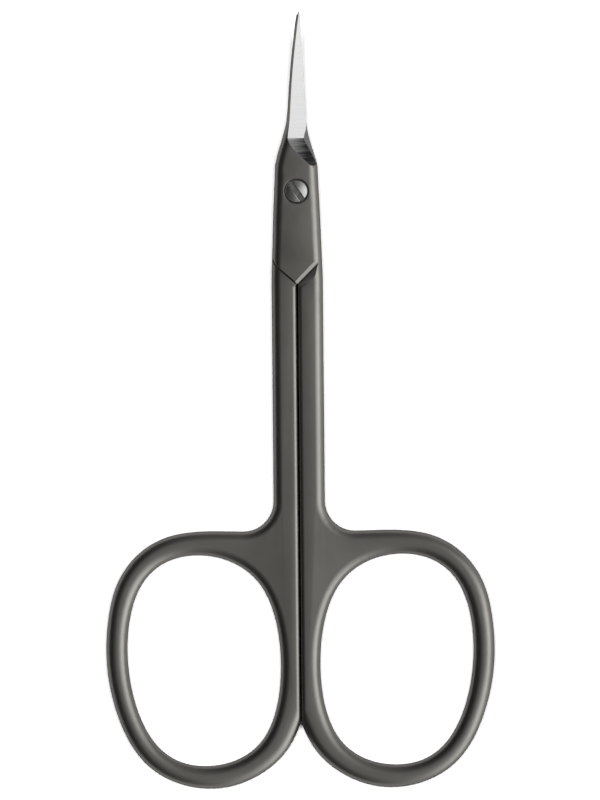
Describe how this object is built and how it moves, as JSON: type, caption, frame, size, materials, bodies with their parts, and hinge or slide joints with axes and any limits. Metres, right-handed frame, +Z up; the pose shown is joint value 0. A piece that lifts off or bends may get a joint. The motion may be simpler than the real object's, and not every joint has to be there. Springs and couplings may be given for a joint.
{
  "type": "cuticle scissors",
  "caption": "Slim cuticle scissors with curved ground blades, a slotted pivot screw, straight shanks and oval finger rings.",
  "frame": {"origin": "on the pivot axis, in the flat back plane that the scissors lie on, where the end of the pivot screw is flush with it", "axes": "+Y from the finger rings towards the blade tips, +Z up out of the screw head, +X towards the right ring when the scissors lie on their back with the tips away"},
  "size_m": [0.05, 0.1001, 0.0054],
  "materials": {
    "satin_steel": "satin",
    "turned_steel": "turned"
  },
  "bodies": {
    "rear": {"rear_half": "satin_steel"},
    "front": {"front_half": "satin_steel"},
    "screw": {"pivot_screw": "turned_steel"}
  },
  "joints": [
    {"name": "blade_pivot", "type": "hinge", "parent": "rear", "child": "front", "pos_m": [0, 0, 0.0019], "axis": [0, 0, 1], "range_deg": [0, 120]},
    {"name": "screw_adjust", "type": "hinge", "parent": "rear", "child": "screw", "pos_m": [0, 0, 0.0019], "axis": [0, 0, 1], "range_deg": [-10, 30]}
  ]
}
